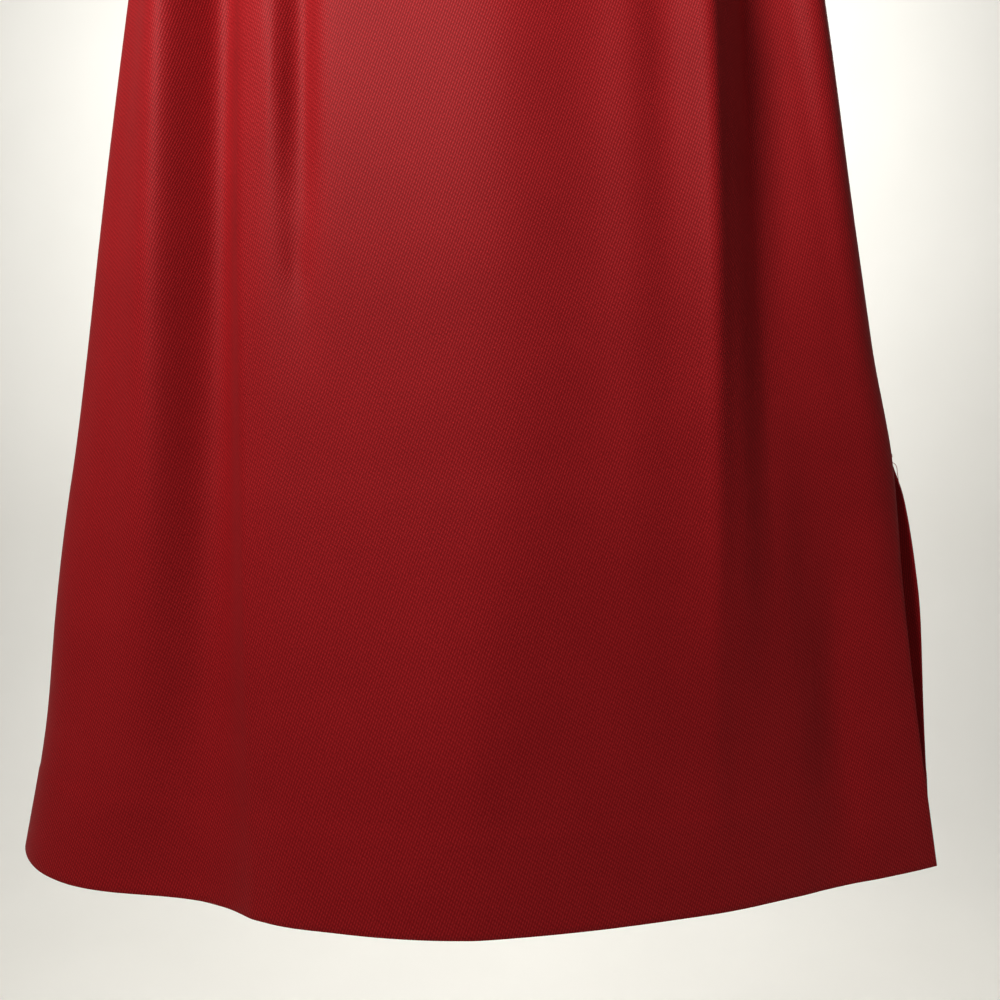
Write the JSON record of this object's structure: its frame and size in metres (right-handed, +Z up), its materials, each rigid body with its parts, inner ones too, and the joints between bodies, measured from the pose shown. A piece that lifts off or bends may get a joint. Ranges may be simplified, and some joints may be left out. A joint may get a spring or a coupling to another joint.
{
  "type": "pencil skirt",
  "caption": "Hollow knee-length skirt with a waistband, soft vertical folds, a slit in one side seam, a turned-up hem and a concealed centre back zip with a hinged pull",
  "frame": {"origin": "the middle of the waist's top edge, where the skirt is held", "axes": "+Z up the skirt, +X to the viewer's right when the front is seen, -Y out of the front"},
  "size_m": [0.4985, 0.111, 0.64],
  "materials": {
    "cloth": "matte twill with a soft sheen",
    "zip_tape": "woven tape",
    "zip_metal": "satin paint"
  },
  "bodies": {
    "skirt": {"front_panel": "cloth", "back_panel_right": "cloth", "back_panel_left": "cloth", "waistband": "cloth", "zip_tape_right": "zip_tape", "zip_tape_left": "zip_tape", "zip_coil": "zip_tape", "zip_slider": "zip_metal"},
    "zip_pull_tab": {"zip_pull": "zip_metal"}
  },
  "joints": [
    {"name": "zip_pull_swing", "type": "hinge", "parent": "skirt", "child": "zip_pull_tab", "pos_m": [0, 0.01769, -0.01], "axis": [1, 0, 0], "range_deg": [0, 150]}
  ]
}
